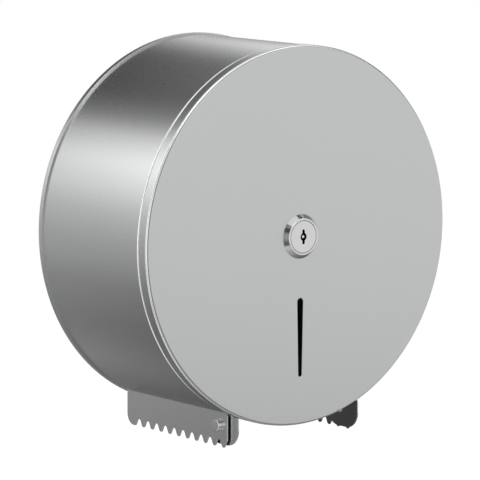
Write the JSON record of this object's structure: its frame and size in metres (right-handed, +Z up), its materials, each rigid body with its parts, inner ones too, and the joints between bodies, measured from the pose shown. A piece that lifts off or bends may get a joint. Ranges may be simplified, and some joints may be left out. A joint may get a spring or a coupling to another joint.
{
  "type": "jumbo toilet roll dispenser",
  "caption": "Round wall-mounted jumbo toilet roll dispenser in satin steel: fold-down locking cover with a level slot, turning roll hub and toothed tear blades.",
  "frame": {"origin": "centre of the wall hole pattern, on the wall plane behind the back plate, on the drum's axis", "axes": "+Y into the wall, +Z up, +X to the right for someone who faces the cover"},
  "size_m": [0.2585, 0.1253, 0.2689],
  "materials": {
    "satin_steel": "fine satin stainless steel",
    "blade_steel": "satin stainless steel with deburred edges",
    "inner_steel": "plain rolled steel",
    "polished_steel": "polished stainless steel",
    "spring_steel": "blackened spring steel",
    "chrome": "bright chrome plate",
    "hub_plastic": "moulded plastic, fine matt",
    "washer_plastic": "black nylon",
    "felt": "pressed felt"
  },
  "bodies": {
    "housing": {"back_plate": "satin_steel", "drum_shell": "satin_steel", "tear_blade_left": "blade_steel", "tear_blade_right": "blade_steel", "spindle_base": "inner_steel", "spindle_rivets": "polished_steel", "spindle_post": "inner_steel", "brake_washer": "felt", "hub_washer": "polished_steel", "hub_retaining_ring": "spring_steel", "lock_keeper": "inner_steel", "keeper_rivets": "polished_steel", "hinge_rivet_left": "polished_steel", "hinge_rivet_right": "polished_steel", "hinge_washer_left": "washer_plastic", "hinge_washer_right": "washer_plastic"},
    "front_cover": {"cover_disc": "satin_steel", "cover_rim": "satin_steel", "hinge_ear_left": "blade_steel", "hinge_ear_right": "blade_steel", "lock_housing": "chrome", "lock_washer": "polished_steel", "lock_nut": "polished_steel"},
    "lock_core": {"lock_plug": "chrome", "guide_pin": "polished_steel", "lock_cam": "inner_steel", "cam_washer": "polished_steel", "cam_screw": "polished_steel"},
    "hub": {"roll_hub": "hub_plastic"}
  },
  "joints": [
    {"name": "cover_hinge", "type": "hinge", "parent": "housing", "child": "front_cover", "pos_m": [0, -0.103, -0.1246], "axis": [1, 0, 0], "range_deg": [0, 80]},
    {"name": "lock_turn", "type": "hinge", "parent": "front_cover", "child": "lock_core", "pos_m": [0, -0.105, 0], "axis": [0, 1, 0], "range_deg": [0, 90]},
    {"name": "hub_spin", "type": "hinge", "parent": "housing", "child": "hub", "pos_m": [0, -0.045, 0], "axis": [0, -1, 0], "continuous": true}
  ]
}
